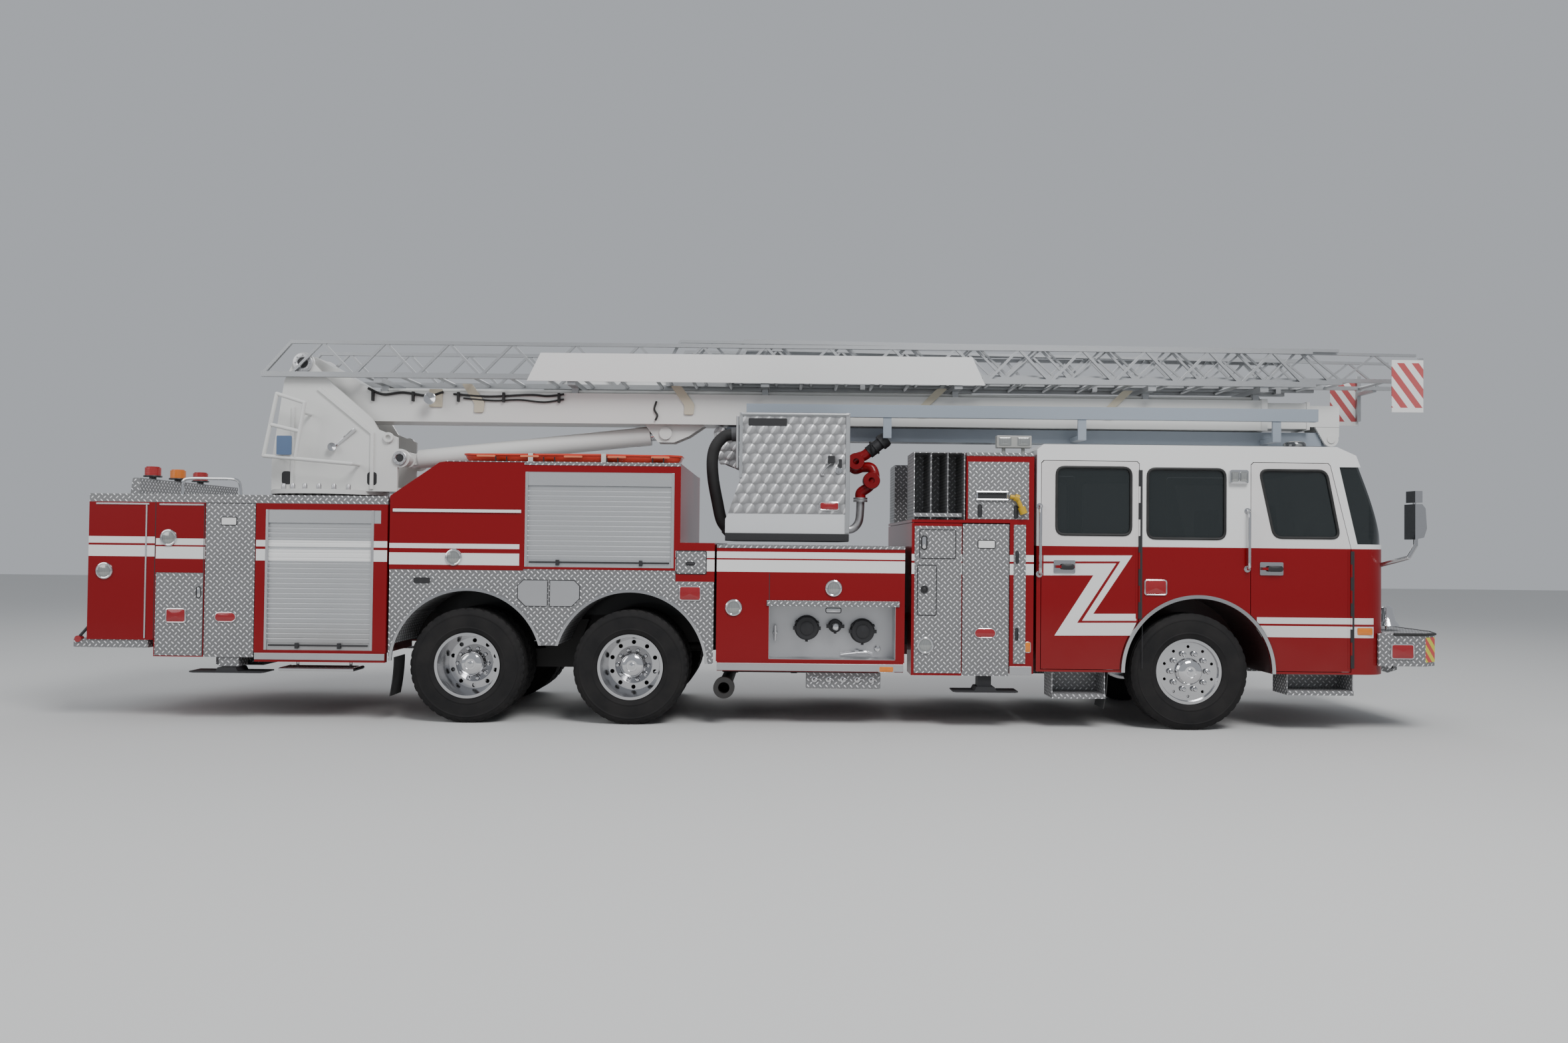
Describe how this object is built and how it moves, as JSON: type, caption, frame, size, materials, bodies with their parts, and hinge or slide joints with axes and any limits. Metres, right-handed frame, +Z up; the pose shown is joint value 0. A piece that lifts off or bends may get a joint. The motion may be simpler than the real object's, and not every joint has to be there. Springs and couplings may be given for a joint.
{
  "type": "fire engine",
  "caption": "Articulated aerial platform fire engine with crew cab, roll-up lockers, outriggers, folded ladder boom and rescue cage.",
  "frame": {"origin": "on the ground, in the middle of the overall length and width", "axes": "+X to the front bumper, +Y to the left side of the vehicle, +Z up"},
  "size_m": [12.711, 2.89, 3.6783],
  "materials": {
    "red_paint": "gloss",
    "white_paint": "gloss",
    "black_steel": "satin",
    "tread_plate": "satin",
    "ladder_aluminium": "satin",
    "polished_rim": "polished",
    "brushed_steel": "brushed",
    "tyre_rubber": "matte",
    "clear_glass": "clear",
    "seat_fabric": "woven",
    "grey_interior": "matte",
    "orange_plastic": "gloss",
    "lamp_lens": "gloss",
    "blue_grey_paint": "satin",
    "rod_chrome": "polished",
    "cast_grey": "rough"
  },
  "bodies": {
    "chassis": {"frame_rails": "black_steel", "axles": "black_steel", "underbody": "black_steel", "engine_block": "cast_grey", "tail_body": "red_paint", "mid_body": "red_paint", "rollup_doors": "ladder_aluminium", "rear_body": "red_paint", "pump_body": "red_paint", "pump_fittings": "black_steel", "fore_body": "red_paint", "tread_plates": "tread_plate", "slewing_ring": "black_steel", "cab_lower": "red_paint", "cab_upper": "white_paint", "cab_glass": "clear_glass", "cab_interior": "grey_interior", "cab_seats": "seat_fabric", "cab_trim": "black_steel", "bright_trim": "ladder_aluminium", "lamps": "lamp_lens", "front_bumper": "tread_plate", "light_box": "tread_plate", "litter_basket": "orange_plastic"},
    "turret": {"turret": "white_paint"},
    "boom": {"boom_tube": "white_paint", "ladder": "ladder_aluminium", "ladder_panels": "white_paint"},
    "lift_barrel": {"lift_barrel": "white_paint"},
    "lift_rod": {"lift_rod": "rod_chrome"},
    "arm": {"arm": "blue_grey_paint"},
    "cage": {"cage": "ladder_aluminium", "monitor": "red_paint"},
    "knuckle_right": {"knuckle_r": "black_steel"},
    "front_wheel_right": {"tyre_front_r": "tyre_rubber", "wheel_front_r": "polished_rim"},
    "rear1_wheels_right": {"tyres_rear1_r": "tyre_rubber", "wheels_rear1_r": "polished_rim"},
    "rear2_wheels_right": {"tyres_rear2_r": "tyre_rubber", "wheels_rear2_r": "polished_rim"},
    "cab_door_rear_right": {"door_rear_r": "red_paint"},
    "outrigger_rear_right": {"outrigger_rear_r": "tread_plate"},
    "jack_rear_right": {"jack_rear_r": "black_steel"},
    "cab_door_front_right": {"door_front_r": "red_paint"},
    "outrigger_front_right": {"outrigger_front_r": "tread_plate"},
    "jack_front_right": {"jack_front_r": "black_steel"},
    "knuckle_left": {"knuckle_l": "black_steel"},
    "front_wheel_left": {"tyre_front_l": "tyre_rubber", "wheel_front_l": "polished_rim"},
    "rear1_wheels_left": {"tyres_rear1_l": "tyre_rubber", "wheels_rear1_l": "polished_rim"},
    "rear2_wheels_left": {"tyres_rear2_l": "tyre_rubber", "wheels_rear2_l": "polished_rim"},
    "cab_door_rear_left": {"door_rear_l": "red_paint"},
    "outrigger_rear_left": {"outrigger_rear_l": "tread_plate"},
    "jack_rear_left": {"jack_rear_l": "black_steel"},
    "cab_door_front_left": {"door_front_l": "red_paint"},
    "outrigger_front_left": {"outrigger_front_l": "tread_plate"},
    "jack_front_left": {"jack_front_l": "black_steel"}
  },
  "joints": [
    {"name": "steer_right", "type": "hinge", "parent": "chassis", "child": "knuckle_right", "pos_m": [3.802, -0.905, 0.53], "axis": [0, 0, 1], "range_deg": [-38, 38]},
    {"name": "spin_front_right", "type": "hinge", "parent": "knuckle_right", "child": "front_wheel_right", "pos_m": [3.802, -1.045, 0.53], "axis": [0, 1, 0], "continuous": true},
    {"name": "spin_rear1_right", "type": "hinge", "parent": "chassis", "child": "rear1_wheels_right", "pos_m": [-2.766, -1, 0.52], "axis": [0, 1, 0], "continuous": true},
    {"name": "spin_rear2_right", "type": "hinge", "parent": "chassis", "child": "rear2_wheels_right", "pos_m": [-1.284, -1, 0.52], "axis": [0, 1, 0], "continuous": true},
    {"name": "open_door_rear_right", "type": "hinge", "parent": "chassis", "child": "cab_door_rear_right", "pos_m": [3.328, -1.229, 1.4], "axis": [0, 0, 1], "range_deg": [0, 75]},
    {"name": "open_door_front_right", "type": "hinge", "parent": "chassis", "child": "cab_door_front_right", "pos_m": [5.254, -1.229, 1.4], "axis": [0, 0, 1], "range_deg": [0, 75]},
    {"name": "extend_outrigger_rear_right", "type": "slide", "parent": "chassis", "child": "outrigger_rear_right", "axis": [0, -1, 0], "range_m": [0, 1.1]},
    {"name": "lower_jack_rear_right", "type": "slide", "parent": "outrigger_rear_right", "child": "jack_rear_right", "axis": [0, 0, -1], "range_m": [0, 0.48]},
    {"name": "extend_outrigger_front_right", "type": "slide", "parent": "chassis", "child": "outrigger_front_right", "axis": [0, -1, 0], "range_m": [0, 1.1]},
    {"name": "lower_jack_front_right", "type": "slide", "parent": "outrigger_front_right", "child": "jack_front_right", "axis": [0, 0, -1], "range_m": [0, 0.48]},
    {"name": "steer_left", "type": "hinge", "parent": "chassis", "child": "knuckle_left", "pos_m": [3.802, 0.905, 0.53], "axis": [0, 0, 1], "range_deg": [-38, 38]},
    {"name": "spin_front_left", "type": "hinge", "parent": "knuckle_left", "child": "front_wheel_left", "pos_m": [3.802, 1.045, 0.53], "axis": [0, 1, 0], "continuous": true},
    {"name": "spin_rear1_left", "type": "hinge", "parent": "chassis", "child": "rear1_wheels_left", "pos_m": [-2.766, 1, 0.52], "axis": [0, 1, 0], "continuous": true},
    {"name": "spin_rear2_left", "type": "hinge", "parent": "chassis", "child": "rear2_wheels_left", "pos_m": [-1.284, 1, 0.52], "axis": [0, 1, 0], "continuous": true},
    {"name": "open_door_rear_left", "type": "hinge", "parent": "chassis", "child": "cab_door_rear_left", "pos_m": [3.328, 1.229, 1.4], "axis": [0, 0, -1], "range_deg": [0, 75]},
    {"name": "open_door_front_left", "type": "hinge", "parent": "chassis", "child": "cab_door_front_left", "pos_m": [5.254, 1.229, 1.4], "axis": [0, 0, -1], "range_deg": [0, 75]},
    {"name": "extend_outrigger_rear_left", "type": "slide", "parent": "chassis", "child": "outrigger_rear_left", "axis": [0, 1, 0], "range_m": [0, 1.1]},
    {"name": "lower_jack_rear_left", "type": "slide", "parent": "outrigger_rear_left", "child": "jack_rear_left", "axis": [0, 0, -1], "range_m": [0, 0.48]},
    {"name": "extend_outrigger_front_left", "type": "slide", "parent": "chassis", "child": "outrigger_front_left", "axis": [0, 1, 0], "range_m": [0, 1.1]},
    {"name": "lower_jack_front_left", "type": "slide", "parent": "outrigger_front_left", "child": "jack_front_left", "axis": [0, 0, -1], "range_m": [0, 0.48]},
    {"name": "slew_turret", "type": "hinge", "parent": "chassis", "child": "turret", "pos_m": [-4.48, 0, 2.1], "axis": [0, 0, 1], "continuous": true},
    {"name": "raise_boom", "type": "hinge", "parent": "turret", "child": "boom", "pos_m": [-4.656, 0, 3.39], "axis": [0, -1, 0], "range_deg": [0, 78]},
    {"name": "tilt_lift_barrel", "type": "hinge", "parent": "turret", "child": "lift_barrel", "pos_m": [-3.686, 0, 2.46], "axis": [0, -1, 0], "range_deg": [0, 78.5]},
    {"name": "extend_lift_rod", "type": "slide", "parent": "lift_barrel", "child": "lift_rod", "axis": [0.9938, 0, 0.1111], "range_m": [0, 1.711]},
    {"name": "unfold_arm", "type": "hinge", "parent": "boom", "child": "arm", "pos_m": [5.56, 0, 2.757], "axis": [0, -1, 0], "range_deg": [0, 27.5]},
    {"name": "level_cage", "type": "hinge", "parent": "arm", "child": "cage", "pos_m": [-0.548, 0, 2.757], "axis": [0, -1, 0], "range_deg": [-105.5, 0]}
  ],
  "couplings": [
    {"joint": "steer_left", "follows": "steer_right", "ratio": 1},
    {"joint": "tilt_lift_barrel", "follows": "raise_boom", "ratio": 1.0042},
    {"joint": "extend_lift_rod", "follows": "raise_boom", "m_per_rad": 1.2423},
    {"joint": "unfold_arm", "follows": "raise_boom", "ratio": 0.35},
    {"joint": "level_cage", "follows": "raise_boom", "ratio": -1.35}
  ]
}
